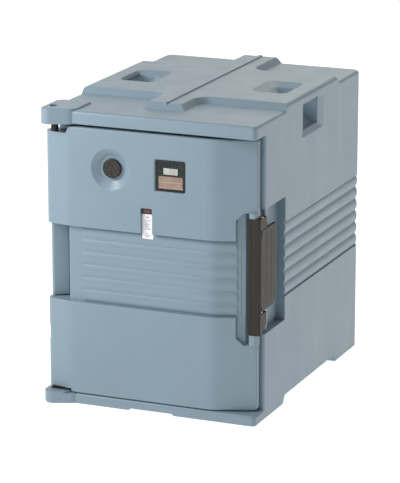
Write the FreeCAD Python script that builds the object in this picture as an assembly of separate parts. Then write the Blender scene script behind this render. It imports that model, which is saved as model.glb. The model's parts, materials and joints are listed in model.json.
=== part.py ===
"""Heated insulated food carrier: a front-loading rotomoulded cabinet with a hinged, heated door.

Millimetres. While modelling, X=0 is the cabinet's left side, Y=0 the door's front face and Z=0 the
surface it stands on; +X runs right, +Y back, +Z up. Each piece is moved at export so that the origin
lies under the middle of the whole object.
"""
import FreeCAD, Part
import math
import os

V = FreeCAD.Vector

# ---- driving dimensions -------------------------------------------------
WIDTH = 452            # cabinet, side to side
DEPTH = 615            # door's front face to cabinet's back
TOP = 618              # low corner areas of the top
PLATEAU = 13           # raised cross on the top
STRIP = 3              # raised centre strip on the cross
CROSS_FRONT, CROSS_BACK = 163, 474
STEM_LEFT, STEM_RIGHT, STEM_FRONT = 173, 269, 76
BACK_CORNER = 18       # radius of the cabinet's upright back corners
SIDE_RIBS = (231, 388, 164)         # bottom, top and front of the ribs round the cabinet
RIM = 51               # the plane of the cavity's mouth
LEDGE = 28             # thickness of the lip over the door
BASE = 22              # thickness of the lip under the door
LIP_EDGE = 6           # radius along the front edge of that lip
LUG_OUT = 12           # hinge lugs stand out of the left side
LUG_FRONT = 20         # and in front of the door
LUG_LOW = 26           # top of the lower lug
HINGE_X, HINGE_Y = 8, 16
PIN, PIN_HEAD = 5, 10  # radii of a hinge pin and its head
PIN_SUNK = 3           # the heads lie this deep in the lugs
DOOR_BOTTOM, DOOR_TOP = 23.5, 585
HINGE_LOW, HINGE_HIGH = 31, 570     # the door's hinge end is shorter than the door
PLATE_SCREW = (31, 9)
DOOR_BACK = 46
DOOR_RIGHT = 444
BEND_X = 358           # the door's front turns back here
BEND = math.radians(20)
BAND_LOW, BAND_HIGH = 219, 378      # the recessed, ribbed middle of the door
MIDDLE_DEEP = 10
CUT_OUT_X = 40.5       # the left post fills the door's hinge edge up to here
RIBS = 6
CAVITY = (60, 392, 65, 548)         # left, right, bottom, top
CAVITY_BACK = 585
WALL = 5
BACK_SKIN = 7
ROD_X, ROD_Y = 432, 31.5            # the rod that the latch turns on
LEVER_X, LEVER_Y = 448.7, 42        # the lever's pin
LATCH_LOW, LATCH_HIGH = 184, 425
LEVER_LOW, LEVER_HIGH = 233, 400.5
ARM_LOW, ARM_HIGH = 227, 402        # the lever lies between the frame's two arms
POCKET = (433, 164, 181, 441)       # latch pocket: left, back, bottom, top
RAILS, RAIL_LOW, RAIL_STEP = 6, 112, 70
GRIP_Y = 315                        # middle of the grip tunnels
FIT = 0.05                          # radial clearance of turning fits
FAR = 900                           # longer than anything it cuts

CENTRE_X = (WIDTH - LUG_OUT) / 2
CENTRE_Y = (DEPTH - LUG_FRONT) / 2


# ---- helpers ------------------------------------------------------------
def box(x0, x1, y0, y1, z0, z1):
    return Part.makeBox(x1 - x0, y1 - y0, z1 - z0, V(x0, y0, z0))


def rod(x, y, z, radius, height, axis=(0, 0, 1)):
    return Part.makeCylinder(radius, height, V(x, y, z), V(*axis))


def cone(x, y, z, r0, r1, height, axis=(0, 0, 1)):
    return Part.makeCone(r0, r1, height, V(x, y, z), V(*axis))


def rounded_edges(corners, closed=True):
    """Straight edges joined by tangent arcs. Each corner is (point, radius)."""
    count = len(corners)
    starts, ends, edges = [], [], []
    for i, (point, radius) in enumerate(corners):
        if not radius or (not closed and i in (0, count - 1)):
            starts.append(point)
            ends.append(point)
            continue
        before = (corners[i - 1][0] - point).normalize()
        after = (corners[(i + 1) % count][0] - point).normalize()
        half = before.getAngle(after) / 2
        reach = radius / math.tan(half)
        middle = point + (before + after).normalize() * (radius / math.sin(half) - radius)
        starts.append(point + before * reach)
        ends.append(point + after * reach)
        edges.append((i, Part.Arc(starts[i], middle, ends[i]).toShape()))
    arcs = dict(edges)
    path = []
    for i in range(count):
        if i in arcs:
            path.append(arcs[i])
        if i < count - 1 or closed:
            a, b = ends[i], starts[(i + 1) % count]
            if (b - a).Length > 1e-6:
                path.append(Part.makeLine(a, b))
    return Part.Wire(path)


def slab(corners, z0, z1):
    """A flat plate: corners (x, y, radius) in plan, from z0 up to z1."""
    wire = rounded_edges([(V(x, y, z0), r) for x, y, r in corners])
    return Part.Face(wire).extrude(V(0, 0, z1 - z0))


def panel(corners, y0, y1):
    """A flat plate: corners (x, z, radius) in elevation, from y0 back to y1."""
    wire = rounded_edges([(V(x, y0, z), r) for x, z, r in corners])
    return Part.Face(wire).extrude(V(0, y1 - y0, 0))


def rectangle(a0, a1, b0, b1, radius):
    return [(a0, b0, radius), (a1, b0, radius), (a1, b1, radius), (a0, b1, radius)]


def rounded(shape, radius, chosen):
    """Round the edges for which chosen(box of the edge) is true."""
    edges = [e for e in shape.Edges if chosen(e.BoundBox)]
    return shape.makeFillet(radius, edges)


def near(a, b, slack=0.3):
    return abs(a - b) < slack


def fuse(first, *others):
    return first.multiFuse(list(others)).removeSplitter() if others else first


def group(pieces):
    return Part.makeCompound(list(pieces))


def mirrored(shape):
    return shape.mirror(V(WIDTH / 2, 0, 0), V(1, 0, 0))


def save(name, shape):
    moved = shape.copy()
    moved.translate(V(-CENTRE_X, -CENTRE_Y, 0))
    solids = moved.Solids
    result = solids[0] if len(solids) == 1 else Part.makeCompound(solids)
    if not solids or not result.isValid():
        raise ValueError(name + " is not a valid solid")
    result.exportStep("parts/" + name + ".step")
    print(name, len(solids), "solid(s)", round(result.Volume / 1000, 1), "cm3")


# ---- cabinet ------------------------------------------------------------
def side_profile():
    """The cabinet's C-shaped side: lip below, rim behind the door, ledge above."""
    points = [(0, 0), (DEPTH, 0), (DEPTH, TOP), (0, TOP), (0, TOP - LEDGE),
              (RIM, TOP - LEDGE), (RIM, BASE), (0, BASE)]
    wire = Part.makePolygon([V(0, y, z) for y, z in points + points[:1]])
    return Part.Face(wire).extrude(V(WIDTH, 0, 0))


def body_block():
    body = rounded(side_profile(), BACK_CORNER, lambda b: b.ZLength > 500 and near(b.YMin, DEPTH))
    body = rounded(body, 10, lambda b: near(b.XMin, WIDTH) and near(b.YMax, 0) and b.ZLength > 5)
    body = rounded(body, LIP_EDGE, lambda b: near(b.ZMin, BASE) and near(b.ZMax, BASE) and b.YMax < RIM - 1)
    body = rounded(body, 5, lambda b: near(b.YMax, RIM) and b.ZLength > 500)
    body = rounded(body, 6, lambda b: near(b.ZMin, TOP) and near(b.ZMax, TOP))
    body = rounded(body, 3, lambda b: near(b.ZMax, 0) and near(b.ZMin, 0))
    body = rounded(body, 4, lambda b: near(b.ZMin, TOP - LEDGE) and near(b.ZMax, TOP - LEDGE)
                   and b.YMin < RIM - 8 and not near(b.YMax, RIM))
    return body


def lug(z0, z1, round_top):
    """Hinge lug: swells out of the left end of the ledge and of the base lip."""
    corners = [(61, 0, 25), (-LUG_OUT, -LUG_FRONT - 7.9, 18), (-LUG_OUT, 64, 10), (0, 77, 6), (61, 77, 0)]
    piece = slab(corners, z0, z1)
    outside = lambda b: b.YMax < 76.5 and b.XMax < 60.9
    piece = rounded(piece, 3.5, lambda b: near(b.ZMin, z1) and near(b.ZMax, z1) and outside(b)
                    if round_top else near(b.ZMin, z0) and near(b.ZMax, z0) and outside(b))
    return piece


def cross_outline(inset, z):
    """Plan of the raised cross: a bar across the whole width and a stem from near the front."""
    stem0, stem1 = STEM_LEFT + inset, STEM_RIGHT - inset
    front, back = CROSS_FRONT + inset, CROSS_BACK - inset
    start, beyond = STEM_FRONT + inset, DEPTH + 40
    inner = 24 + inset
    corners = [(-40, front, 0), (stem0, front, 8 + inset), (stem0, start, 3), (stem1, start, 3),
               (stem1, front, inner), (WIDTH + 40, front, 0), (WIDTH + 40, back, 0),
               (stem1, back, inner), (stem1, beyond, 0), (stem0, beyond, 0), (stem0, back, inner),
               (-40, back, 0)]
    return rounded_edges([(V(x, y, z), r) for x, y, r in corners])


def top_cross():
    tall = slab([(0, 60, 0), (WIDTH, 60, 0), (WIDTH, DEPTH, BACK_CORNER), (0, DEPTH, BACK_CORNER)],
                TOP - 20, TOP + PLATEAU)
    tall = rounded(tall, 9, lambda b: near(b.ZMin, TOP + PLATEAU) and b.YMax > 61)
    foot, crest = cross_outline(0, TOP - 1), cross_outline(12, TOP + PLATEAU)
    root = Part.Face(cross_outline(0, TOP - 12)).extrude(V(0, 0, 11))
    cross = fuse(Part.makeLoft([foot, crest], True, True), root)
    strip = slab([(219, 84, 4.5), (228, 84, 4.5), (228, DEPTH - 8, 4.5), (219, DEPTH - 8, 4.5)],
                 TOP, TOP + PLATEAU + STRIP)
    strip = rounded(strip, 1.5, lambda b: near(b.ZMin, TOP + PLATEAU + STRIP))
    return fuse(cross.common(tall), strip)


def left_post():
    """Corner post that fills the cut-out in the door's hinge edge."""
    corners = [(-7, 18, 5), (26, 39, 3), (26, 60, 0), (6, 80, 0), (0, 80, 4), (-7, 72, 6)]
    return slab(corners, BAND_LOW + 3, BAND_HIGH - 3)


def side_ribs():
    """Six soft ribs that run back along the right side, round the back and along the left."""
    low, high, front = SIDE_RIBS
    deep = 4
    turn = BACK_CORNER - deep
    step = (high - low) / RIBS
    middle = WIDTH / 2

    def ring(inset, outset):
        outer = slab(rectangle(-outset, WIDTH + outset, front, DEPTH + outset, 0), low, high)
        inner = slab([(inset, 100, 0), (WIDTH - inset, 100, 0), (WIDTH - inset, DEPTH - inset, turn),
                      (inset, DEPTH - inset, turn)], low, high)
        return outer.cut(inner)

    x = WIDTH - deep
    edges = []
    for i in range(RIBS):
        z = low + i * step
        arc = Part.Arc(V(x, front, z), V(WIDTH, front, z + step / 2), V(x, front, z + step))
        edges.append(arc.toShape())
    corners = [(x, high), (x - 2, high), (x - 2, low), (x, low)]
    edges.append(Part.makePolygon([V(a, front, z) for a, z in corners]))
    profile = Part.Wire([e for part in edges for e in part.Edges])
    path = rounded_edges([(V(x, front, low), 0), (V(x, DEPTH - deep, low), turn),
                          (V(middle, DEPTH - deep, low), 0)], closed=False)
    half = path.makePipeShell([profile], True, False)
    return ring(deep, 20), fuse(half, mirrored(half))


def grip_tunnel():
    """Hand grip in the top right edge: a slanted tunnel from the top to the side, under a bar."""
    points = [(340, 660), (340, TOP + PLATEAU), (436, 556), (480, 548), (480, 612), (WIDTH, 612),
              (424, 612), (410, 622), (410, 660)]
    wire = Part.makePolygon([V(x, 0, z) for x, z in points + points[:1]])
    tunnel = Part.Face(wire).extrude(V(0, 86, 0))
    tunnel.translate(V(0, GRIP_Y - 43, 0))
    tunnel = rounded(tunnel, 9, lambda b: near(b.XMin, 340) and b.ZMax < 640 and b.YLength < 1)

    def rectangle_wire(axis, at, a0, a1, b0, b1, radius):
        if axis == "z":
            return rounded_edges([(V(x, y, at), r) for x, y, r in rectangle(a0, a1, b0, b1, radius)])
        return rounded_edges([(V(at, y, z), r) for y, z, r in rectangle(a0, a1, b0, b1, radius)])

    crest = TOP + PLATEAU
    from_top = Part.makeLoft([rectangle_wire("z", crest - 11, 354, 408, 275, 355, 10),
                              rectangle_wire("z", crest + 1, 332, 414, 258, 376, 16)], True, True)
    from_side = Part.makeLoft([rectangle_wire("x", WIDTH - 5, 266, 362, 553, 608, 8),
                               rectangle_wire("x", WIDTH + 1, 246, 386, 540, 613, 10)], True, True)
    return fuse(tunnel, from_top, from_side)


def latch_pocket():
    """Recess in the right side for the latch, with the moulded bar that the lever hooks behind."""
    left, back, low, high = POCKET
    pocket = box(left, FAR, RIM - 5, back, low, high)
    keeper = box(left - 3, left + 10, 75, 90, low - 3, high + 3)
    keeper = rounded(keeper, 3, lambda b: near(b.XMin, left + 10) and b.ZLength > 50)
    return pocket.cut(keeper)


def underside():
    """Stacking slots that fit over the cross of the carrier below, and a notch in the front lip."""
    def wedge(points, a0, a1, across):
        vectors = [V(a0, p, z) if across == "x" else V(p, a0, z) for p, z in points]
        wire = Part.makePolygon(vectors + vectors[:1])
        return Part.Face(wire).extrude(V(a1 - a0, 0, 0) if across == "x" else V(0, a1 - a0, 0))

    crown = PLATEAU + 5
    front, back = CROSS_FRONT, CROSS_BACK
    left, right = STEM_LEFT, STEM_RIGHT
    bar = [(front - 7, -1), (front + 5, crown), (back - 8, crown), (back + 4, -1)]
    stem = [(left - 5, -1), (left + 3, crown), (right - 3, crown), (right + 5, -1)]
    notch = [(left - 1, -1), (left + 5, 5), (right + 1, 5), (right + 7, -1)]
    return fuse(wedge(bar, -50, WIDTH + 50, "x"), wedge(stem, STEM_FRONT - 6, FAR, "y"),
                wedge(notch, -60, STEM_FRONT + 4, "y"))


def core():
    """The space inside the cabinet's skin, shared by the foam and the liner."""
    block = box(9, WIDTH - 9, RIM + 6, DEPTH - 10, 27, TOP - 9)
    keep_grip = box(330, WIDTH, 246, 390, 538, TOP)
    keep_out = [box(426, WIDTH, RIM, 172, 174, 448), keep_grip, mirrored(keep_grip),
                box(0, 40, RIM, 70, BAND_LOW - 5, BAND_HIGH + 5)]
    return block.cut(group(keep_out))


def liner_block(grow, y0):
    left, right, low, high = CAVITY
    block = slab([(left - grow, y0, 0), (right + grow, y0, 0), (right + grow, CAVITY_BACK + grow, 22 + grow),
                  (left - grow, CAVITY_BACK + grow, 22 + grow)], low - grow, high + grow)
    return rounded(block, 10 + grow, lambda b: (near(b.ZMax, low - grow) or near(b.ZMin, high + grow))
                   and b.YMax > y0 + 1)


def on_hinge(z, radius, height):
    return rod(HINGE_X, HINGE_Y, z, radius, height)


def pin_holes():
    """Countersunk holes for the hinge pins in the two lugs, and small ones for the plate screws."""
    bore, mouth = PIN + FIT, PIN_HEAD + 0.5
    upper = fuse(on_hinge(TOP - LEDGE - 1, bore, 80), on_hinge(TOP - PIN_SUNK, mouth, 20),
                 cone(HINGE_X, HINGE_Y, TOP - PIN_SUNK - 6, bore, mouth, 6))
    lower = fuse(on_hinge(-20, bore, 60), on_hinge(-20, mouth, 20 + PIN_SUNK),
                 cone(HINGE_X, HINGE_Y, PIN_SUNK, mouth, bore, 6))
    return [upper, lower] + plate_screws(False)


def plate_screws(with_heads):
    """One screw holds each hinge plate to its lug. Without heads they are the holes for them."""
    x, y = PLATE_SCREW
    high = TOP - LEDGE
    screws = [rod(x, y, LUG_LOW - 9, 1.6, 11), rod(x, y, high - 2, 1.6, 11)]
    if with_heads:
        heads = [rod(x, y, LUG_LOW + 2, 3.2, 1.2), rod(x, y, high - 3.2, 3.2, 1.2)]
        screws = [fuse(screw, head) for screw, head in zip(screws, heads)]
    return screws


def make_cabinet():
    swept = box(-60, 90, -60, 100, BASE, 50).cut(on_hinge(0, 36, 60))
    low_lug = lug(0, LUG_LOW, False).cut(swept)
    outer = fuse(body_block(), lug(TOP - LEDGE, TOP + 4, True), low_lug, top_cross(), left_post())
    band, ribs = side_ribs()
    outer = fuse(outer.cut(band), ribs)
    tunnel = grip_tunnel()
    outer = outer.cut(group([tunnel, mirrored(tunnel), latch_pocket(), underside()] + pin_holes()))
    inner = core()
    tub = liner_block(3, RIM)
    save("cabinet_shell", outer.cut(group([inner]).fuse(tub)))
    save("cabinet_foam", inner.cut(tub))

    left, right, low, high = CAVITY
    hollow = liner_block(0, RIM - 1)
    rail = slab([(left - 1, 70, 0), (left + 15, 78, 6), (left + 15, 554, 6), (left - 1, 562, 0)], 0, 12)
    rail = rounded(rail, 3, lambda b: near(b.XMin, left + 15) and b.YLength > 300)
    rails = []
    for i in range(RAILS):
        copy = rail.copy()
        copy.translate(V(0, 0, RAIL_LOW + RAIL_STEP * i))
        rails += [copy, mirrored(copy)]
    save("cavity_liner", fuse(tub.cut(hollow), *rails))

    def pin(z_head, z_end):
        up = 1 if z_end > z_head else -1
        return fuse(cone(HINGE_X, HINGE_Y, z_head, PIN_HEAD, PIN, 5.5, (0, 0, up)),
                    rod(HINGE_X, HINGE_Y, z_head, PIN, abs(z_end - z_head), (0, 0, up)))
    save("hinge_pin_lower", pin(PIN_SUNK + 0.2, HINGE_LOW + 49))
    save("hinge_pin_upper", pin(TOP - PIN_SUNK - 0.2, HINGE_HIGH - 56))
    bore = on_hinge(0, PIN + FIT, FAR)
    lug_high = TOP - LEDGE
    plates = [slab(rectangle(-3, 41, 2, 32, 5), z0, z0 + 2) for z0 in (LUG_LOW, lug_high - 2)]
    save("hinge_plates", group([plate.cut(group([bore] + plate_screws(False))) for plate in plates]))
    save("plate_screws", group(plate_screws(True)))
    rings = [on_hinge(LUG_LOW + 2, 7.5, HINGE_LOW - LUG_LOW - 2.2),
             on_hinge(HINGE_HIGH + 0.2, 7.5, lug_high - HINGE_HIGH - 2.2)]
    save("hinge_washers", group([ring.cut(bore) for ring in rings]))


# ---- door ---------------------------------------------------------------
def front_path(inset, left, right):
    """The door's front face in plan, at a depth: straight, then bent back to the right."""
    bend = BEND_X - inset * math.tan(BEND / 2)
    end_y = inset + (right - bend) * math.tan(BEND)
    return [(left, inset, 0), (bend, inset, 70 - inset), (right, end_y, 0)]


def in_front(inset, z0, z1, left=-50, right=480):
    """All the space in front of the door's face at a depth, between two heights."""
    a, b, c = front_path(inset, left, right)
    return slab([(left, -60, 0), a, b, c, (right, -60, 0)], z0, z1)


def door_block():
    side = (DOOR_RIGHT - BEND_X) * math.tan(BEND)
    plan = [(-11, DOOR_BACK, 9), (-11, 11, 14), (44, 0, 100), (BEND_X, 0, 70),
            (DOOR_RIGHT, side, 0), (DOOR_RIGHT, DOOR_BACK, 0)]
    block = slab(plan, DOOR_BOTTOM, DOOR_TOP)
    block = rounded(block, 9, lambda b: near(b.XMin, DOOR_RIGHT) and near(b.ZMax, DOOR_BOTTOM))
    block = rounded(block, 5, lambda b: near(b.XMin, DOOR_RIGHT) and near(b.ZMin, DOOR_TOP))
    return rounded(block, 4, lambda b: (near(b.ZMax, DOOR_BOTTOM) or near(b.ZMin, DOOR_TOP)
                   or b.XMax > DOOR_RIGHT - 14) and b.YMax < DOOR_BACK - 5 and b.XLength + b.ZLength > 1)


def hinge_notches(grow):
    """Cuts over and under the door's hinge end, with slanted inner ends."""
    top, bottom = HINGE_HIGH - grow, HINGE_LOW + grow
    high = [(-50, top, 0), (38 + grow, top, 0), (46 + grow, DOOR_TOP + 1, 0), (-50, DOOR_TOP + 1, 0)]
    low = [(-50, bottom, 0), (44.5 + grow, bottom, 0), (48 + grow, 0, 0), (-50, 0, 0)]
    return [panel(high, -50, 90), panel(low, -50, 90)]


def door_core():
    """The foam space inside the door's skin, open at the back."""
    plan = [(28, 70, 0), (28, 10, 8), (60, WALL, 0), (BEND_X - 1, WALL, 60), (392, 17.5, 0), (392, 70, 0)]
    block = slab(plan, DOOR_BOTTOM + WALL, DOOR_TOP - WALL)
    slanted = [(390, 70, 0), (390, 17.5, 0), (432, 35, 3), (432, 70, 0)]
    block = block.fuse(slab(slanted, 446, DOOR_TOP - WALL))
    block = block.fuse(slab(slanted, DOOR_BOTTOM + WALL, 152))
    middle = in_front(MIDDLE_DEEP + WALL, BAND_LOW - WALL, BAND_HIGH + WALL)
    cut_out = box(-50, CUT_OUT_X + WALL, -10, 90, BAND_LOW - WALL, BAND_HIGH + WALL)
    return block.cut(group([middle, cut_out] + hinge_notches(WALL)))


def door_ribs():
    """Six convex ribs across the recessed middle of the door."""
    step = (BAND_HIGH - BAND_LOW) / RIBS
    start, bulge, x = MIDDLE_DEEP, 3.4, 72
    edges = []
    for i in range(RIBS):
        z = BAND_LOW + i * step
        arc = Part.Arc(V(x, start, z), V(x, start - bulge, z + step / 2), V(x, start, z + step))
        edges.append(arc.toShape())
    back = Part.makePolygon([V(x, start, BAND_HIGH), V(x, start + 2, BAND_HIGH), V(x, start + 2, BAND_LOW),
                             V(x, start, BAND_LOW)])
    profile = Part.Wire(edges + back.Edges)
    path = rounded_edges([(V(px, py, BAND_LOW), r) for px, py, r in front_path(start, x, 410)], closed=False)
    return path.makePipeShell([profile], True, False)


def latch_recess():
    """Eight-sided recess at the door's free edge. Two moulded stubs in it hold the latch rod."""
    left, low, high, slant = 403, LATCH_LOW - 22, LATCH_HIGH + 11, 15
    outline = panel([(left, low + slant, 0), (left + slant, low, 0), (FAR, low, 0), (FAR, high, 0),
                     (left + slant, high, 0), (left, high - slant, 0)], -30, 60)
    floor = slab([(390, -60, 0), (390, 21, 0), (418, 32, 0), (422, 39.7, 3), (436, 39.7, 0), (436, 90, 0),
                  (FAR, 90, 0), (FAR, -60, 0)], 100, 500)
    space = outline.common(floor)
    stubs = []
    for z0, z1 in ((160, LATCH_LOW - 0.5), (LATCH_HIGH + 0.5, 440)):
        stubs.append(slab([(427.5, 46, 0), (427.5, 24, 4), (442, 24, 5), (444, 32, 4), (444, 46, 0)], z0, z1))
    return space.cut(group(stubs)), stubs


VENT_X, VENT_Z = 137.5, 504.5
CASE = (235.5, 300.5, 469.5, 533.5)     # thermometer: left, right, bottom, top
LAMP_X = (203.5, 228.5)
LABEL_Z, LAMP_Z = (366, 418), (418.3, 431)
TRAY = (118, 334, 66, 186)              # heater tray in the door's back
INLET_Z = 145


def in_vent(y, radius, length):
    return rod(VENT_X, y, VENT_Z, radius, length, (0, 1, 0))


def wiring_paths():
    """Middle lines of the leads: inlet to heater tray, and tray up to the pilot lamp."""
    to_tray = [(V(26, 24, INLET_Z), 0), (V(117.5, 24, INLET_Z), 0)]
    to_lamp = [(V(216, 28, 186.5), 0), (V(216, 28, 424.5), 6), (V(216, 20.2, 424.5), 0)]
    return to_tray, to_lamp


def shift(points, dx, dy, dz):
    return [(p + V(dx, dy, dz), r) for p, r in points]


def wire_tube(points, radius):
    path = rounded_edges(points, closed=False)
    first = path.OrderedEdges[0]
    start = points[0][0]
    along = (points[1][0] - start).normalize()
    ring = Part.Wire(Part.makeCircle(radius, start, along))
    return path.makePipeShell([ring], True, False) if len(points) > 2 else \
        Part.makeCylinder(radius, first.Length, start, along)


def make_door():
    block = door_block()
    cut_out = box(-50, CUT_OUT_X, -30, 90, BAND_LOW, BAND_HIGH)
    middle = in_front(MIDDLE_DEEP, BAND_LOW, BAND_HIGH, left=20)
    block = block.cut(group([cut_out, middle]))
    block = rounded(block, 1.6, lambda b: (near(b.ZMin, BAND_LOW) and near(b.ZMax, BAND_LOW)
                    or near(b.ZMin, BAND_HIGH) and near(b.ZMax, BAND_HIGH)) and b.YMin < 9 and b.XMin > 41
                    and b.YMax < MIDDLE_DEEP + 20 and not near(b.YMin, MIDDLE_DEEP, 0.6))
    block = fuse(block, door_ribs())
    space, stubs = latch_recess()
    block = fuse(block.cut(space), *[s.common(box(420, 460, 20, DOOR_BACK, z0, z1)) for s, (z0, z1) in
                                     zip(stubs, ((162, LATCH_LOW - 0.5), (LATCH_HIGH + 0.5, 436)))])
    left0, right0, low0, high0 = CASE
    case_hole = panel(rectangle(left0 - 0.2, right0 + 0.2, low0 - 0.2, high0 + 0.2, 4), -5, 18)

    def case_edge(y, grow, radius):
        outline = rectangle(left0 - grow, right0 + grow, low0 - grow, high0 + grow, radius)
        return rounded_edges([(V(x, y, z), r) for x, z, r in outline])
    case_bevel = Part.makeLoft([case_edge(2, 0.5, 4), case_edge(-1, 4, 7)], True, True)
    dish = cone(VENT_X, -0.5, VENT_Z, 43.4, 26, 12.5, (0, 1, 0))
    dish = fuse(dish, in_vent(-5, 43.4, 4.6), in_vent(0, 15, 60))
    lamp_slot = panel(rectangle(LAMP_X[0], LAMP_X[1], LABEL_Z[0], LAMP_Z[1], 2.5), -5, MIDDLE_DEEP - 1.5)
    lamp_hole = box(LAMP_X[0] + 1, LAMP_X[1] - 1, 0, 20, LAMP_Z[0] + 1, LAMP_Z[1] - 1)
    notches = hinge_notches(0)
    sleeves = [on_hinge(HINGE_LOW, 7, 52), on_hinge(HINGE_HIGH - 52, 7, 52)]
    pin_ends = [on_hinge(HINGE_LOW - 1, PIN + 0.5, 58), on_hinge(HINGE_HIGH - 60, PIN + 0.5, 60)]
    inlet_hole = box(-20, -2, 12, 36, INLET_Z - 17, INLET_Z + 17).fuse(
        box(-10, 26, 14, 34, INLET_Z - 14, INLET_Z + 14)).fuse(box(20, 30, 20, 28, INLET_Z - 6, INLET_Z + 6))
    pads = [panel(rectangle(left0 - 5, right0 + 5, low0 - 5, high0 + 5, 4), 2, 23),
            in_vent(2, 31, 15), cone(VENT_X, 2, VENT_Z, 48, 31, 15, (0, 1, 0)),
            box(LAMP_X[0] - 4, LAMP_X[1] + 4, 2, 20, LABEL_Z[0] - 5, LAMP_Z[1] + 5)]
    inner = door_core().cut(group(pads))
    probe = rod(268, 0, 500, 3, 60, (0, 1, 0))
    lamp_wire = box(212, 220, 15, 32, LAMP_Z[0] + 2, LAMP_Z[1] - 2)
    rod_hole = rod(ROD_X, ROD_Y, 170, 2.5, 264)
    groove = gasket_ring(0)
    cuts = [case_hole, case_bevel, dish, lamp_slot, lamp_hole, inlet_hole, probe, lamp_wire, rod_hole, groove]
    shell = block.cut(group(notches + sleeves + pin_ends + cuts)).cut(inner)
    save("door_shell", shell)

    # the back skin fills the shell's open back; the foam fills what is left
    back = inner.common(box(-50, FAR, DOOR_BACK - BACK_SKIN, DOOR_BACK, 0, FAR))
    x0, x1, z0, z1 = TRAY
    tray_hole = box(x0, x1, 18, 60, z0, z1)
    vent_hole = in_vent(0, 15, 60)
    save("door_inner_panel", back.cut(group([tray_hole, vent_hole, probe, groove])))
    to_tray, to_lamp = wiring_paths()
    channels = [box(24, 120, 19, 29, INLET_Z - 6, INLET_Z + 6), box(211, 221, 15, 33, 180, 430)]
    foam = inner.common(box(-50, FAR, 0, DOOR_BACK - BACK_SKIN, 0, FAR))
    save("door_foam", foam.cut(group([tray_hole, vent_hole, probe] + channels)))
    save("door_gasket", gasket_ring(1))
    save("hinge_bushings", group([s.cut(on_hinge(0, PIN + FIT, FAR)) for s in sleeves]))

    save("vent_tube", in_vent(12, 15, DOOR_BACK - 12).cut(in_vent(0, 11, 80)))
    save("power_inlet", make_inlet())
    pins = [rod(2, y, INLET_Z + z, 1.6, 15, (1, 0, 0)) for y, z in ((19, -7), (19, 7), (28, 0))]
    save("inlet_pins", group(pins))
    strands = [wire_tube(shift(to_tray, 0, 0, dz), 1.5) for dz in (-4, 0, 4)]
    strands += [wire_tube(shift(to_lamp, dx, 0, 0), 1.2) for dx in (-2, 2)]
    save("door_wiring", group(strands))
    make_thermometer()
    make_lamp()
    make_heater()


def gasket_ring(proud):
    """Door seal: set 4 mm into the door's back, and 4.6 mm proud of it in front of the rim."""
    back = RIM - 0.4 if proud else 60
    outer = panel(rectangle(38, 414, 41, 558, 20), DOOR_BACK - 4, back)
    inner = panel(rectangle(48, 404, 51, 548, 12), DOOR_BACK - 6, 70)
    ring = outer.cut(inner)
    if proud:
        ring = rounded(ring, 2, lambda b: near(b.YMin, back) and near(b.YMax, back))
    return ring


def make_inlet():
    body = rounded(box(-2, 24, 14, 34, INLET_Z - 14, INLET_Z + 14), 2, lambda b: b.XLength > 20)
    mouth = rounded(box(-3, 18, 16.5, 31.5, INLET_Z - 11.5, INLET_Z + 11.5), 2, lambda b: b.XLength > 20)
    holes = [rod(0, y, INLET_Z + z, 1.6, 17, (1, 0, 0)) for y, z in ((19, -7), (19, 7), (28, 0))]
    return body.cut(mouth).cut(group(holes))


def make_thermometer():
    x0, x1, z0, z1 = CASE
    middle_x = (x0 + x1) / 2
    case = panel(rectangle(x0, x1, z0, z1, 4), 1.6, 18)
    case = rounded(case, 1, lambda b: near(b.YMax, 1.6))
    display = (middle_x - 15.5, middle_x + 15.5, 504.5, 517.5)
    cell = (middle_x - 26, middle_x + 26, 475.5, 500.5)
    window = (x0 + 2.5, x1 - 2.5, z0 + 2.5, z1 - 2.5)

    def plate(frame, y0, y1):
        a0, a1, b0, b1 = frame
        return box(a0, a1, y0, y1, b0, b1)
    case = case.cut(group([plate(display, 2.6, 7), plate(cell, 2.6, 5), plate(window, 0, 2.6)]))
    save("thermometer_case", case.cut(rod(268, 12, 500, 3, 30, (0, 1, 0))))
    save("thermometer_display", plate(display, 2.8, 7))
    save("solar_cell", plate(cell, 2.8, 5))
    save("thermometer_window", plate(window, 1.8, 2.6))
    probe = rod(268, 12, 500, 3, RIM - 13, (0, 1, 0))
    save("thermometer_probe", rounded(probe, 2.5, lambda b: near(b.YMin, RIM - 1)))


def make_lamp():
    x0, x1 = LAMP_X
    body = box(x0 + 1, x1 - 1, 5.5, 20, LAMP_Z[0] + 1, LAMP_Z[1] - 1)
    lens = panel(rectangle(x0 + 5, x1 - 5, LAMP_Z[0] + 3, LAMP_Z[1] - 3, 1.5), 4.6, 9)
    save("pilot_lamp_body", body.cut(lens))
    save("pilot_lamp_lens", lens)
    outline = rectangle(x0 + 0.4, x1 - 0.4, LABEL_Z[0] + 0.4, LABEL_Z[1] - 0.4, 2)
    save("label_plate", panel(outline, 7, MIDDLE_DEEP - 1.5))


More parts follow.
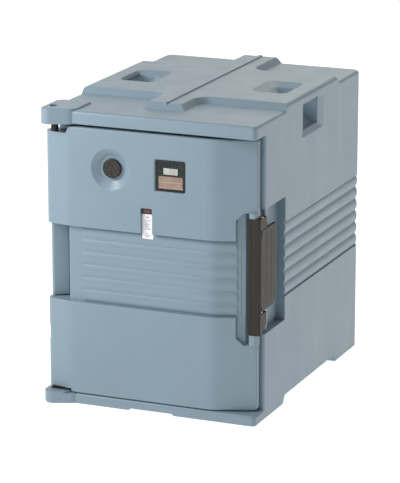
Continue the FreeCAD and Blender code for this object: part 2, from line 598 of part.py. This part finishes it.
def make_heater():
    x0, x1, z0, z1 = TRAY
    tray = box(x0, x1, 18, DOOR_BACK, z0, z1).cut(box(x0 + 1.5, x1 - 1.5, 19.5, 60, z0 + 1.5, z1 - 1.5))
    entries = [rod(x0 - 2, 24, INLET_Z + dz, 1.6, 6, (1, 0, 0)) for dz in (-4, 0, 4)]
    corners = [(x, z) for x in (x0 + 9, x1 - 9) for z in (z0 + 9, z1 - 9)]
    bosses = [rod(x, 19, z, 5, 25, (0, 1, 0)) for x, z in corners]
    tray = fuse(tray, *bosses)
    holes = [rod(x, 30, z, 1.6, 30, (0, 1, 0)) for x, z in corners]
    save("heater_tray", tray.cut(group(entries + holes)))

    # one long rod bent into three passes
    left, right, low, gap = x0 + 60, x1 - 24, z0 + 30, 28
    turn = gap / 2 - 0.1
    turns = [(left - 10, low, 0), (right, low, turn), (right, low + gap, turn), (left, low + gap, turn),
             (left, low + 2 * gap, turn), (right - 20, low + 2 * gap, 0)]
    save("heater_element", wire_tube([(V(x, 31, z), r) for x, z, r in turns], 3.2))

    cover = panel(rectangle(x0 - 6, x1 + 6, z0 - 6, z1 + 6, 6), DOOR_BACK, DOOR_BACK + 3)
    lip = box(x0 + 1.5, x1 - 1.5, DOOR_BACK - 2, DOOR_BACK, z0 + 1.5, z1 - 1.5)
    cover = cover.fuse(lip.cut(group([rod(x, 0, z, 5, 90, (0, 1, 0)) for x, z in corners])))
    slots = [panel(rectangle(x, x + 6, z0 + 22, z1 - 22, 3), 30, 60) for x in range(x0 + 22, x1 - 26, 14)]
    save("heater_cover", cover.cut(group(slots + holes)).removeSplitter())
    screws = []
    for x, z in corners:
        head = cone(x, DOOR_BACK + 3, z, 3.6, 3.0, 1.6, (0, 1, 0))
        recess = box(x - 0.5, x + 0.5, DOOR_BACK + 3.8, 60, z - 3, z + 3)
        screws.append(fuse(head, rod(x, DOOR_BACK - 12, z, 1.55, 16, (0, 1, 0))).cut(recess))
    save("heater_screws", group(screws))
    disc = rod(x0 + 26, 19.5, z1 - 24, 9, 10, (0, 1, 0))
    terminals = [box(x0 + 26 + dx - 1.5, x0 + 26 + dx + 1.5, 29, 36, z1 - 25, z1 - 23) for dx in (-5, 5)]
    save("thermostat", fuse(disc, *terminals))


# ---- latch and vent -----------------------------------------------------
def make_latch():
    save("latch_rod", rod(ROD_X, ROD_Y, 170.5, 2.5, 263))

    outside = 452
    hub = slab([(424.5, 24, 6), (outside - 2, 24, 2), (outside, 27, 2), (outside, 39, 2), (424.5, 39, 6.5)],
               LATCH_LOW, LATCH_HIGH)
    groove = rod(435, 20.2, LATCH_LOW - 5, 4.6, 300)
    hollow = box(437, 449, 27, 41, LATCH_LOW + 6, LATCH_HIGH - 6)
    arm = [(446.2, 28, 0), (outside, 28, 0), (outside, 62, 2), (446.2, 62, 2)]
    low_arm = slab(arm, LATCH_LOW, ARM_LOW)
    high_arm = slab(arm, ARM_HIGH, LATCH_HIGH)
    slope_points = ((30, LATCH_LOW - 4), (64, LATCH_LOW - 4), (64, LATCH_LOW + 21), (30, LATCH_LOW - 4))
    slope = Part.Face(Part.makePolygon([V(440, y, z) for y, z in slope_points]))
    bearing = rod(ROD_X, ROD_Y, LATCH_LOW - 5, 2.5 + FIT, 260)
    pin_hole = rod(LEVER_X, LEVER_Y, LATCH_LOW - 5, 1.6, 260)
    lever_room = slab([(437, 36, 0), (445, 29.5, 0), (460, 29.5, 0), (460, 90, 0), (437, 90, 0)],
                      ARM_LOW, ARM_HIGH)
    frame = fuse(hub.cut(hollow), low_arm, high_arm)
    frame = frame.cut(group([groove, slope.extrude(V(20, 0, 0)), bearing, pin_hole, lever_room]))
    save("latch_frame", frame)
    head = rounded(rod(LEVER_X, LEVER_Y, LATCH_HIGH, 3, 2), 0.8, lambda b: near(b.ZMin, LATCH_HIGH + 2))
    save("lever_pin", fuse(rod(LEVER_X, LEVER_Y, 195, 1.6, LATCH_HIGH - 194), head))

    plate = slab([(446, 31, 2), (outside, 31, 1.5), (outside, 112, 2), (446, 112, 2)], LEVER_LOW, LEVER_HIGH)
    notches = [box(440, 460, 25, 34.5, LEVER_LOW - 8, LEVER_LOW + 10),
               box(440, 460, 25, 34.5, LEVER_HIGH - 16.5, LEVER_HIGH + 5)]
    tail_points = ((94, LEVER_LOW - 3), (116, LEVER_LOW - 3), (116, LEVER_LOW + 19), (94, LEVER_LOW - 3))
    tail = Part.Face(Part.makePolygon([V(440, y, z) for y, z in tail_points]))
    hook = slab([(437, 90.5, 1), (447, 90.5, 0), (447, 96.5, 0), (437, 95, 1)], 255, 365)
    web = slab([(442.5, 54, 1), (447, 52, 0), (447, 70, 0), (442.5, 66, 1)], 255, 365)
    grooves = [rod(453.2, y, 243, 1.6, 148) for y in (58, 86)]
    bearing = rod(LEVER_X, LEVER_Y, 200, 1.6 + FIT, 260)
    lever = fuse(plate, hook, web).cut(group(notches + grooves + [tail.extrude(V(20, 0, 0)), bearing]))
    save("latch_lever", lever)


def make_vent_cap():
    head = rod(VENT_X, 5.4, VENT_Z, 20, 6.3, (0, 1, 0))
    head = rounded(head, 2, lambda b: near(b.YMax, 5.4))
    stem = rod(VENT_X, 11, VENT_Z, 10.9, 20, (0, 1, 0)).cut(rod(VENT_X, 14, VENT_Z, 8, 30, (0, 1, 0)))
    ports = [box(VENT_X - 30, VENT_X + 30, 16, 26, VENT_Z - 3, VENT_Z + 3),
             box(VENT_X - 3, VENT_X + 3, 16, 26, VENT_Z - 30, VENT_Z + 30)]
    save("vent_cap", fuse(head, stem).cut(group(ports)))


os.makedirs("parts", exist_ok=True)
make_cabinet()
make_door()
make_latch()
make_vent_cap()
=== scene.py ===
"""Looks of the heated insulated food carrier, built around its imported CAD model. Metres."""
import json
import math

import bmesh
import bpy
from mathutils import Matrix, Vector


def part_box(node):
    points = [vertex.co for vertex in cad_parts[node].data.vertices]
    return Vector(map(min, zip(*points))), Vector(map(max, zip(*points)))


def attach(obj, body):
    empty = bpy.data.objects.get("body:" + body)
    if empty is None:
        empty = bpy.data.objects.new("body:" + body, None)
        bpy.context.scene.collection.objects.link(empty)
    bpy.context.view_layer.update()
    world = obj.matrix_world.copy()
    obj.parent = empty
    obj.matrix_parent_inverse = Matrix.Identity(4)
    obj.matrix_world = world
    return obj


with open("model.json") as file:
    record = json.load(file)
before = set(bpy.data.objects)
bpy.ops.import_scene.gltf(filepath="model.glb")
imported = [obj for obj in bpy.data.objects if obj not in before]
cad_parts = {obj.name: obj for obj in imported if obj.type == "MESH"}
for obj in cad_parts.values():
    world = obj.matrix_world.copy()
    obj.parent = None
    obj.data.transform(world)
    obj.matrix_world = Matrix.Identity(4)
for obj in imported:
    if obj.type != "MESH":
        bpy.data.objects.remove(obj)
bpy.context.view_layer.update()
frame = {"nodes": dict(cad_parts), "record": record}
NODES = frame["nodes"]
MM = 0.001
WHITE = (1, 1, 1, 1)

BEVEL_SAMPLES = 6
EDGE_MASK_SPREAD = 1 / 6           # one minus the cosine at which an edge counts fully in the edge mask


# ---- material building blocks ----------------------------------------------------
class Shader:
    """A node-based material with one Principled shader, and short helpers to feed it."""

    def __init__(self, name, colour, roughness, metallic=0.0, specular=0.5):
        self.material = bpy.data.materials.new(name)
        self.material.use_nodes = True
        self.tree = self.material.node_tree
        self.shader = self.tree.nodes["Principled BSDF"]
        self.shader.inputs["Base Color"].default_value = (*colour, 1)
        self.shader.inputs["Roughness"].default_value = roughness
        self.shader.inputs["Metallic"].default_value = metallic
        self.shader.inputs["Specular IOR Level"].default_value = specular
        self.place = self.node("ShaderNodeTexCoord").outputs["Object"]

    def node(self, kind, inputs=None, **settings):
        """A new node; each input takes another node's socket or a plain value."""
        made = self.tree.nodes.new(kind)
        for key, value in settings.items():
            setattr(made, key, value)
        for key, value in (inputs or {}).items():
            if isinstance(value, bpy.types.NodeSocket):
                self.tree.links.new(value, made.inputs[key])
            else:
                made.inputs[key].default_value = value
        return made

    def noise(self, size, detail=2.0, stretch=(1, 1, 1), roughness=0.5):
        """Noise with features about `size` metres across, from 0 to 1."""
        scaled = self.node("ShaderNodeMapping", {"Vector": self.place, "Scale": stretch})
        made = self.node("ShaderNodeTexNoise", {"Vector": scaled.outputs[0], "Scale": 1 / size,
                                                "Detail": detail, "Roughness": roughness})
        return made.outputs["Fac"]

    def ramp(self, value, low, high, out_low=0.0, out_high=1.0):
        """The value carried from low..high to out_low..out_high, and held there outside."""
        made = self.node("ShaderNodeMapRange", {"Value": value, "From Min": low, "From Max": high,
                                                "To Min": out_low, "To Max": out_high})
        return made.outputs["Result"]

    def math(self, operation, a, b=0.0):
        return self.node("ShaderNodeMath", {0: a, 1: b}, operation=operation).outputs[0]

    def mix(self, factor, a, b):
        """Colour a where the factor is 0 and colour b where it is 1."""
        factor_input, a_input, b_input, colour_output = 0, 6, 7, 2
        inputs = {factor_input: factor}
        for index, colour in ((a_input, a), (b_input, b)):
            is_socket = isinstance(colour, bpy.types.NodeSocket)
            inputs[index] = colour if is_socket else (*colour, 1)
        return self.node("ShaderNodeMix", inputs, data_type="RGBA").outputs[colour_output]

    def feed(self, socket, value):
        self.tree.links.new(value, self.shader.inputs[socket])

    def soft_edges(self, radius):
        """Normal of the surface with its edges rounded off."""
        return self.node("ShaderNodeBevel", {"Radius": radius}, samples=BEVEL_SAMPLES).outputs[0]

    def edge_mask(self, radius):
        """1 near an edge, 0 on flat ground."""
        soft = self.soft_edges(radius)
        true = self.node("ShaderNodeNewGeometry").outputs["Normal"]
        dot = self.node("ShaderNodeVectorMath", {0: soft, 1: true}, operation="DOT_PRODUCT")
        away = self.math("SUBTRACT", 1.0, dot.outputs["Value"])
        return self.ramp(away, 0.0, EDGE_MASK_SPREAD)

    def bump(self, height, distance, strength=1.0, normal=None):
        inputs = {"Height": height, "Distance": distance, "Strength": strength}
        if normal is not None:
            inputs["Normal"] = normal
        return self.node("ShaderNodeBump", inputs).outputs[0]


def tint(colour, factor):
    """The colour made lighter, factor over 1, or darker."""
    return tuple(min(1.0, c * factor) for c in colour)


# ---- materials -------------------------------------------------------------------
def rotomoulded(name, colour, wear_and_highlight=1.0, edge=2.0 * MM):
    """Coloured polyethylene from a rotational mould: waxy, faintly mottled, orange-peel skin."""
    roughness = 0.40
    m = Shader(name, colour, roughness)
    cloud = m.noise(160 * MM, 3)
    speckle = m.noise(2.2 * MM, 2)
    streak = m.noise(50 * MM, 4, (1, 1, 0.25))
    body = m.mix(m.ramp(cloud, 0.3, 0.7), tint(colour, 0.95), tint(colour, 1.04))
    body = m.mix(m.ramp(speckle, 0.35, 0.75, 0.0, 0.7), body, tint(colour, 1.12))
    scratches = m.ramp(m.noise(12 * MM, 5, (1, 1, 0.4), 0.7), 0.62, 0.78)
    worn_places = m.ramp(m.noise(110 * MM, 2), 0.5, 0.66)
    scuff = m.math("MULTIPLY", scratches, worn_places)
    body = m.mix(m.math("MULTIPLY", scuff, 0.22 * wear_and_highlight), body, tint(colour, 1.35))
    # Edges lightened: partly rubbed wear, partly a painted highlight along the rounded edges.
    uneven = m.ramp(m.noise(20 * MM, 4), 0.3, 0.65, 0.3, 1.0)
    pale_edge = m.math("MULTIPLY", m.edge_mask(3.5 * MM), uneven)
    body = m.mix(m.math("MULTIPLY", pale_edge, 0.6 * wear_and_highlight), body, tint(colour, 1.4))
    m.feed("Base Color", body)
    dullness = m.math("ADD", streak, scuff)
    m.feed("Roughness", m.ramp(dullness, 0.3, 1.2, roughness - 0.05, roughness + 0.16))
    peel = m.bump(m.noise(3.6 * MM, 2), 0.22 * MM, 0.8, m.soft_edges(edge))
    m.feed("Normal", m.bump(m.noise(50 * MM, 2), 0.9 * MM, 0.6, peel))
    return m.material


def nylon(name, colour):
    """Moulded nylon with faint flow streaks and paler edges."""
    roughness = 0.42
    m = Shader(name, colour, roughness, specular=0.26)
    streak = m.noise(4 * MM, 4, (1, 1, 0.06), 0.65)
    body = m.mix(m.ramp(streak, 0.3, 0.75), tint(colour, 0.82), tint(colour, 1.28))
    uneven = m.ramp(m.noise(10 * MM, 4), 0.3, 0.7, 0.2, 1.0)
    pale_edge = m.math("MULTIPLY", m.edge_mask(1.6 * MM), uneven)
    body = m.mix(m.math("MULTIPLY", pale_edge, 0.4), body, tint(colour, 2.6))
    m.feed("Base Color", body)
    m.feed("Roughness", m.ramp(streak, 0.2, 0.8, roughness - 0.06, roughness + 0.12))
    grain = m.noise(0.8 * MM, 2)
    m.feed("Normal", m.bump(grain, 0.05 * MM, 0.5, m.soft_edges(0.7 * MM)))
    return m.material


def pebbled_nylon(name, colour):
    """Dark nylon with a coarse pebbled face, as on the vent cap."""
    pebble = 4.2 * MM
    m = Shader(name, colour, 0.5, specular=0.3)
    pebbles = m.node("ShaderNodeTexVoronoi", {"Vector": m.place, "Scale": 1 / pebble})
    height = m.ramp(pebbles.outputs["Distance"], 0.05, 0.75, 1.0, 0.0)
    # Pebble hollows darker and pebble tops lighter: painted shade and highlight following the
    # relief.
    m.feed("Base Color", m.mix(height, tint(colour, 0.6), tint(colour, 1.5)))
    m.feed("Roughness", m.ramp(m.noise(6 * MM, 3), 0.3, 0.8, 0.4, 0.6))
    m.feed("Normal", m.bump(height, 0.5 * MM, 0.8, m.soft_edges(0.8 * MM)))
    return m.material


def brushed_metal(name, colour, stretch=(1, 1, 0.04), roughness=0.32):
    """Metal with fine marks, long on an axis whose stretch is small and short where it is large."""
    m = Shader(name, colour, roughness, metallic=1.0)
    grain = m.noise(0.6 * MM, 3, stretch)
    m.feed("Base Color", m.mix(m.ramp(grain, 0.3, 0.7), tint(colour, 0.85), tint(colour, 1.08)))
    m.feed("Roughness", m.ramp(grain, 0.2, 0.8, roughness - 0.08, roughness + 0.14))
    m.feed("Normal", m.bump(grain, 0.02 * MM, 0.4, m.soft_edges(0.4 * MM)))
    return m.material


def rubber(name, colour):
    """Matt rubber with patches of dust."""
    m = Shader(name, colour, 0.62, specular=0.35)
    dust = m.noise(15 * MM, 5)
    m.feed("Base Color", m.mix(m.ramp(dust, 0.45, 0.8, 0, 0.6), colour, tint(colour, 1.9)))
    m.feed("Roughness", m.ramp(dust, 0.3, 0.8, 0.55, 0.75))
    m.feed("Normal", m.bump(m.noise(1.2 * MM, 2), 0.06 * MM, 0.5, m.soft_edges(0.8 * MM)))
    return m.material


def gloss_plastic(name, colour):
    """Shiny hard plastic with a faint haze."""
    roughness = 0.18
    m = Shader(name, colour, roughness)
    haze = m.noise(8 * MM, 4)
    m.feed("Base Color", m.mix(m.ramp(haze, 0.4, 0.8), colour, tint(colour, 1.5)))
    m.feed("Roughness", m.ramp(haze, 0.35, 0.8, roughness, roughness + 0.14))
    m.feed("Normal", m.bump(m.noise(3 * MM, 2), 0.01 * MM, 0.3, m.soft_edges(0.5 * MM)))
    return m.material


def foam(name, colour):
    """Rigid foam with an open-celled surface."""
    cell = 1.8 * MM
    m = Shader(name, colour, 0.85, specular=0.25)
    cells = m.node("ShaderNodeTexVoronoi", {"Vector": m.place, "Scale": 1 / cell})
    distance = cells.outputs["Distance"]
    # Cell hollows darker and cell walls lighter: painted shade following the relief.
    m.feed("Base Color", m.mix(m.ramp(distance, 0.1, 0.8), tint(colour, 0.8), tint(colour, 1.1)))
    m.feed("Normal", m.bump(distance, 0.4 * MM, 0.6))
    return m.material


def solar_cell(name):
    """Amorphous cell: brown-red glass over two wide strips with fine collector lines."""
    strips, gap_share, line_pitch = 2, 0.09, 0.9 * MM
    m = Shader(name, (0.26, 0.145, 0.10), 0.16)
    height = m.node("ShaderNodeSeparateXYZ", {"Vector": m.place}).outputs["Z"]
    low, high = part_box("solar_cell")
    strip = m.ramp(height, low.z, high.z, 0, strips)
    gap = m.math("LESS_THAN", m.math("FRACT", strip), gap_share)
    lines = m.math("SINE", m.math("MULTIPLY", height, 2 * math.pi / line_pitch))
    patches = m.ramp(m.noise(20 * MM, 2), 0.3, 0.7)
    tone = m.mix(patches, (0.25, 0.155, 0.12), (0.30, 0.205, 0.155))
    tone = m.mix(m.ramp(lines, 0.2, 1.0, 0, 0.25), tone, (0.40, 0.29, 0.22))
    m.feed("Base Color", m.mix(gap, tone, (0.48, 0.36, 0.29)))
    m.shader.inputs["Coat Weight"].default_value = 0.6
    m.shader.inputs["Coat Roughness"].default_value = 0.06
    return m.material


def display_glass(name):
    """The grey-green face of a liquid crystal display."""
    m = Shader(name, (0.40, 0.41, 0.385), 0.25)
    grain = m.noise(0.7 * MM, 2)
    m.feed("Base Color", m.mix(m.ramp(grain, 0.3, 0.8), (0.44, 0.45, 0.42), (0.54, 0.55, 0.52)))
    return m.material


def clear_window(name):
    """A thin clear window, nearly invisible but for its gloss."""
    m = Shader(name, (0.96, 0.98, 0.98), 0.05)
    m.shader.inputs["Transmission Weight"].default_value = 1.0
    m.shader.inputs["IOR"].default_value = 1.2
    m.shader.inputs["Alpha"].default_value = 0.12
    m.feed("Roughness", m.ramp(m.noise(10 * MM, 4), 0.4, 0.8, 0.04, 0.14))
    return m.material


def lamp_lens(name):
    """The dark red lens of a pilot lamp that is off."""
    m = Shader(name, (0.13, 0.035, 0.022), 0.14)
    ribs = m.noise(1.5 * MM, 1, (1, 1, 3))
    m.feed("Base Color", m.mix(ribs, (0.07, 0.02, 0.014), (0.19, 0.055, 0.034)))
    return m.material


def paper_label(name):
    """White label stock, faintly uneven."""
    m = Shader(name, (0.84, 0.85, 0.90), 0.38)
    uneven = m.ramp(m.noise(6 * MM, 3), 0.3, 0.8)
    m.feed("Base Color", m.mix(uneven, (0.79, 0.80, 0.85), (0.88, 0.89, 0.93)))
    m.feed("Normal", m.bump(m.noise(0.9 * MM, 2), 0.02 * MM, 0.3))
    return m.material


def ink(name, colour):
    """Printed ink, patchy at the scale of its grain."""
    m = Shader(name, colour, 0.5)
    m.feed("Base Color", m.mix(m.noise(1 * MM, 2), tint(colour, 0.8), tint(colour, 1.3)))
    return m.material


BLUE = (0.197, 0.277, 0.333)
# one material for each of the record's material slots
MATERIALS = {
    "shell": rotomoulded("rotomoulded_blue", BLUE),
    "liner": rotomoulded("moulded_liner", tint(BLUE, 0.97), wear_and_highlight=0.6, edge=1.5 * MM),
    "foam": foam("polyurethane_foam", (0.72, 0.62, 0.36)),
    "steel": brushed_metal("stainless_steel", (0.60, 0.60, 0.585)),
    "brass": brushed_metal("turned_brass", (0.74, 0.57, 0.29), (1, 1, 6), 0.3),
    "nylon": nylon("brown_nylon", (0.026, 0.0225, 0.020)),
    "bushing": nylon("natural_nylon", (0.68, 0.65, 0.56)),
    "seal": rubber("silicone_seal", (0.028, 0.028, 0.032)),
    "black_plastic": gloss_plastic("black_abs", (0.007, 0.011, 0.0105)),
    "lcd": display_glass("liquid_crystal"),
    "solar": solar_cell("solar_strips"),
    "clear": clear_window("clear_acrylic"),
    "lamp": lamp_lens("neon_lens"),
    "label": paper_label("white_label"),
    "tray": brushed_metal("aluminium_tray", (0.72, 0.73, 0.74), (0.04, 1, 1), 0.36),
    "wire": rubber("silicone_leads", (0.05, 0.05, 0.055)),
}

# nodes whose finish differs from the rest of their slot
OWN_MATERIALS = {"vent_cap": pebbled_nylon("pebbled_nylon", (0.034, 0.031, 0.027))}


def dress_cad_nodes():
    """Every CAD node gets the material of its slot, or its own."""
    for row in frame["record"]["subparts"]:
        name, slot = row["node"], row["material_slot"]
        node = NODES[name]
        node.data.materials.clear()
        node.data.materials.append(OWN_MATERIALS.get(name, MATERIALS[slot]))


# ---- prints on the door ------------------------------------------------------------
PRINT_DEPTH = 0.04 * MM
FIGURE_DEPTH = 0.05 * MM


def door_print(name, build, material):
    """A piece that rides on the door, with the mesh that build makes."""
    bm = bmesh.new()
    build(bm)
    mesh = bpy.data.meshes.new(name)
    bm.to_mesh(mesh)
    bm.free()
    mesh.materials.append(material)
    piece = bpy.data.objects.new(name, mesh)
    bpy.context.scene.collection.objects.link(piece)
    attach(piece, "door")


def add_plate(bm, corners, y, depth):
    """A thin prism facing the front: corners (x, z) in order, from y to y + depth."""
    front = [bm.verts.new((x, y, z)) for x, z in corners]
    back = [bm.verts.new((x, y + depth, z)) for x, z in corners]
    faces = [bm.faces.new(front), bm.faces.new(back[::-1])]
    for i in range(len(corners)):
        j = (i + 1) % len(corners)
        faces.append(bm.faces.new((front[i], back[i], back[j], front[j])))
    bmesh.ops.recalc_face_normals(bm, faces=faces)


# the segments of each figure, and each segment's ends as shares of a figure's width and height
FIGURE_SEGMENTS = {"5": "afgcd", "6": "afgedc"}
SEGMENT_ENDS = {"a": (0, 1, 1, 1), "c": (1, 0.5, 1, 0), "d": (0, 0, 1, 0),
                "e": (0, 0, 0, 0.5), "f": (0, 0.5, 0, 1), "g": (0, 0.5, 1, 0.5)}
READING = "65"


def display_digits():
    """Two seven-segment figures on the thermometer's display."""
    low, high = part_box("thermometer_display")
    height = (high.z - low.z) * 0.62
    width = height * 0.52
    thick = height * 0.13
    bottom = (low.z + high.z) / 2 - height / 2
    first, pitch = 0.44, 0.24           # shares of the display's width

    def segment(bm, x0, z0, x1, z1):
        """A bar with pointed ends, which stop short of the corners of the figure."""
        start, end = Vector((x0, z0)), Vector((x1, z1))
        along = (end - start).normalized()
        side = Vector((-along.y, along.x)) * thick / 2
        inset = along * thick * 0.6
        tip = along * thick / 2
        a, b = start + inset, end - inset
        outline = (a - tip, a + side, b + side, b + tip, b - side, a - side)
        add_plate(bm, [tuple(p) for p in outline], low.y - FIGURE_DEPTH, FIGURE_DEPTH)

    def build(bm):
        for i, figure in enumerate(READING):
            left = low.x + (high.x - low.x) * (first + pitch * i)
            for name in FIGURE_SEGMENTS[figure]:
                u0, v0, u1, v1 = SEGMENT_ENDS[name]
                segment(bm, left + u0 * width, bottom + v0 * height,
                        left + u1 * width, bottom + v1 * height)

    door_print("display_digits", build, ink("display_ink", (0.24, 0.25, 0.23)))


def label_print():
    """Meaningless bars in grey, violet and red where the strip label is printed."""
    low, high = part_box("label_plate")
    wide, tall = high.x - low.x, high.z - low.z

    def bars(rows, thick):
        """Bars from rows of left end, right end and depth below the top, as shares of the label."""
        def build(bm):
            for left, right, down in rows:
                x0, x1 = low.x + left * wide, low.x + right * wide
                z = high.z - down * tall
                corners = [(x0, z), (x1, z), (x1, z + thick), (x0, z + thick)]
                add_plate(bm, corners, low.y - PRINT_DEPTH, PRINT_DEPTH)
        return build

    lines = bars([(0.30, 0.56, 0.36), (0.24, 0.66, 0.42), (0.24, 0.60, 0.49), (0.26, 0.72, 0.56),
                  (0.28, 0.78, 0.62), (0.30, 0.52, 0.79), (0.26, 0.76, 0.86), (0.32, 0.66, 0.92)],
                 1.2 * MM)
    mark = bars([(0.38, 0.50, 0.13), (0.56, 0.66, 0.11), (0.40, 0.62, 0.155)], 1.3 * MM)
    heading = bars([(0.24, 0.80, 0.25), (0.22, 0.70, 0.285)], 0.9 * MM)
    door_print("label_lines", lines, ink("grey_ink", (0.16, 0.16, 0.19)))
    door_print("label_mark", mark, ink("violet_ink", (0.16, 0.14, 0.42)))
    door_print("label_heading", heading, ink("red_ink", (0.50, 0.22, 0.24)))


# ---- studio ----------------------------------------------------------------------
FLOOR_HALF = 30
FLOOR_GLOW = 0.92
SKY_STRENGTH = 0.22


def floor():
    """A wide pale floor that glows a little, so that it stays white round the object."""
    corners = [(-FLOOR_HALF, -FLOOR_HALF, 0), (FLOOR_HALF, -FLOOR_HALF, 0),
               (FLOOR_HALF, FLOOR_HALF, 0), (-FLOOR_HALF, FLOOR_HALF, 0)]
    mesh = bpy.data.meshes.new("floor")
    mesh.from_pydata(corners, [], [(0, 1, 2, 3)])
    sheet = bpy.data.objects.new("floor", mesh)
    bpy.context.scene.collection.objects.link(sheet)
    paper = Shader("studio_floor", (0.40, 0.40, 0.40), 0.95, specular=0.0)
    paper.shader.inputs["Emission Color"].default_value = WHITE
    paper.shader.inputs["Emission Strength"].default_value = FLOOR_GLOW
    mesh.materials.append(paper.material)


def sky():
    """Even white light from all round."""
    world = bpy.data.worlds.new("studio")
    bpy.context.scene.world = world
    world.use_nodes = True
    back = world.node_tree.nodes["Background"]
    back.inputs["Color"].default_value = WHITE
    back.inputs["Strength"].default_value = SKY_STRENGTH


def softbox(name, place, aim, width, height, watts, colour):
    """A rectangular area light that faces the point aim."""
    light = bpy.data.lights.new(name, "AREA")
    light.shape = "RECTANGLE"
    light.size, light.size_y = width, height
    light.energy = watts
    light.color = colour
    lamp = bpy.data.objects.new(name, light)
    lamp.location = place
    lamp.rotation_euler = (Vector(aim) - Vector(place)).to_track_quat("-Z", "Y").to_euler()
    bpy.context.scene.collection.objects.link(lamp)


def lights():
    """A key light from the front left, and softer ones from above, behind and the right."""
    middle = (0, 0, 0.32)
    softbox("key_left", (-1.1, -1.2, 1.3), middle, 0.7, 0.7, 25, (1.02, 0.99, 0.99))
    softbox("top_front", (0.1, -1.9, 2.7), middle, 1.2, 1.2, 12, (0.98, 1.0, 1.01))
    softbox("overhead", (0.1, 1.6, 2.4), middle, 2.0, 2.0, 27, (1.08, 1.0, 0.92))
    softbox("back_sheen", (-1.5, 3.4, 1.3), (0, 0, 0.6), 3.0, 1.6, 12, (1.04, 1.0, 0.95))
    softbox("right_back", (2.9, 1.7, 0.7), middle, 1.2, 1.2, 13, (1.18, 0.97, 0.86))


AZIMUTH, ELEVATION = math.radians(22.646), math.radians(15.092)
DISTANCE = 5.7786                       # from the eye to AIM
LENS, SENSOR = 204.25, 36               # millimetres
AIM = Vector((-0.0070, -0.0106, 0.2912))


def camera():
    """The camera looks at AIM from the front right and a little above."""
    data = bpy.data.cameras.new("camera")
    data.lens, data.sensor_width, data.sensor_fit = LENS, SENSOR, "AUTO"
    eye = bpy.data.objects.new("camera", data)
    look = Vector((-math.sin(AZIMUTH) * math.cos(ELEVATION),
                   math.cos(AZIMUTH) * math.cos(ELEVATION),
                   -math.sin(ELEVATION)))
    eye.location = AIM - look * DISTANCE
    eye.rotation_euler = (math.pi / 2 - ELEVATION, 0, AZIMUTH)
    bpy.context.scene.collection.objects.link(eye)
    bpy.context.scene.camera = eye


dress_cad_nodes()
display_digits()
label_print()
floor()
sky()
lights()
camera()
bpy.context.scene.view_settings.view_transform = "Standard"
